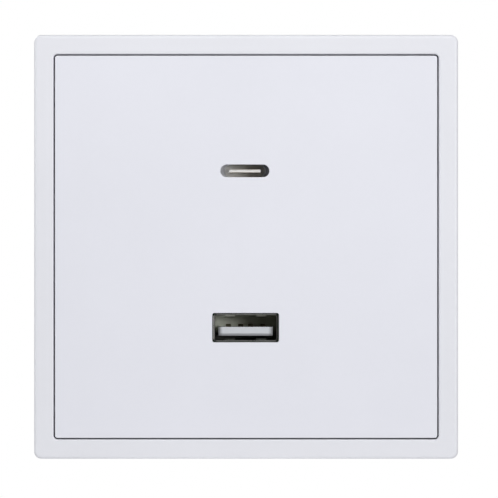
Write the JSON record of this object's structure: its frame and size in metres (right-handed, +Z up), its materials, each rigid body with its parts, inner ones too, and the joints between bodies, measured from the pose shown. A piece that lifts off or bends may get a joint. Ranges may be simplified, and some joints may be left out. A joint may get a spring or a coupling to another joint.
{
  "type": "usb wall socket",
  "caption": "Square wall socket with a Type-C and a Type-A charging port in a flush cover, with its mains converter in a box behind the plate.",
  "frame": {"origin": "centre of the plate's wall face", "axes": "+Y into the wall, +X right and +Z up seen from the room"},
  "size_m": [0.086, 0.0383, 0.086],
  "materials": {
    "frame_plastic": "fine satin, cool white",
    "cover_plastic": "fine satin, cool white",
    "shield_plastic": "fine matte grey",
    "housing_plastic": "fine matte light grey",
    "zinc_steel": "zinc plated",
    "mouth_steel": "nickel plated, drawn",
    "dark_steel": "dark nickel plated",
    "tongue_plastic": "moulded off-white",
    "contact_gold": "gold plated",
    "board_laminate": "solder mask green",
    "chip_black": "fine matte black",
    "tray_plastic": "matte black",
    "terminal_brass": "stamped",
    "ferrite": "ground, dark grey",
    "winding_tape": "polyester tape",
    "enamelled_wire": "enamelled copper",
    "tin_plate": "tinned",
    "can_sleeve": "printed sleeve, plain",
    "can_aluminium": "bare can",
    "box_yellow": "filled moulded box",
    "coating_blue": "dipped coating",
    "coating_black": "dipped coating",
    "fuse_plastic": "moulded brown"
  },
  "bodies": {
    "socket_base": {"mounting_frame": "frame_plastic", "front_shield": "shield_plastic", "rear_housing": "housing_plastic", "housing_screws": "zinc_steel", "usb_a_shell": "mouth_steel", "usb_a_insulator": "tongue_plastic", "usb_a_contacts": "contact_gold", "usb_c_shell": "dark_steel", "usb_c_insulator": "tongue_plastic", "usb_c_contacts": "contact_gold", "port_board": "board_laminate", "port_controller": "chip_black", "port_inductor": "ferrite", "board_link": "chip_black", "insulating_tray": "tray_plastic", "power_board": "board_laminate", "live_bracket": "terminal_brass", "neutral_bracket": "terminal_brass", "transformer_core": "ferrite", "transformer_bobbin": "chip_black", "transformer_pins": "tin_plate", "transformer_winding": "winding_tape", "input_capacitor_upper": "can_sleeve", "input_capacitor_lower": "can_sleeve", "output_capacitor_upper": "can_aluminium", "output_capacitor_lower": "can_aluminium", "x_capacitor": "box_yellow", "fuse": "fuse_plastic", "bridge_rectifier": "chip_black", "varistor": "coating_blue", "thermistor": "coating_black", "y_capacitor": "coating_blue", "choke_core": "ferrite", "choke_windings": "enamelled_wire", "output_choke": "enamelled_wire", "converter_controller": "chip_black"},
    "cover": {"cover_plate": "cover_plastic"},
    "live_clamp": {"live_clamp_plate": "zinc_steel"},
    "live_terminal_screw": {"live_screw": "zinc_steel"},
    "neutral_clamp": {"neutral_clamp_plate": "zinc_steel"},
    "neutral_terminal_screw": {"neutral_screw": "zinc_steel"}
  },
  "joints": [
    {"name": "cover_pull", "type": "slide", "parent": "socket_base", "child": "cover", "axis": [0, -1, 0], "range_m": [0, 0.03]},
    {"name": "live_clamp_travel", "type": "slide", "parent": "socket_base", "child": "live_clamp", "axis": [0, -1, 0], "range_m": [0, 0.0028]},
    {"name": "live_screw_turn", "type": "hinge", "parent": "live_clamp", "child": "live_terminal_screw", "pos_m": [0.01, 0.021, -0.019], "axis": [0, -1, 0], "range_deg": [0, 1680]},
    {"name": "neutral_clamp_travel", "type": "slide", "parent": "socket_base", "child": "neutral_clamp", "axis": [0, -1, 0], "range_m": [0, 0.0028]},
    {"name": "neutral_screw_turn", "type": "hinge", "parent": "neutral_clamp", "child": "neutral_terminal_screw", "pos_m": [-0.01, 0.021, -0.019], "axis": [0, -1, 0], "range_deg": [0, 1680]}
  ],
  "couplings": [
    {"joint": "live_screw_turn", "follows": "live_clamp_travel", "rad_per_m": 10472},
    {"joint": "neutral_screw_turn", "follows": "neutral_clamp_travel", "rad_per_m": 10472}
  ]
}
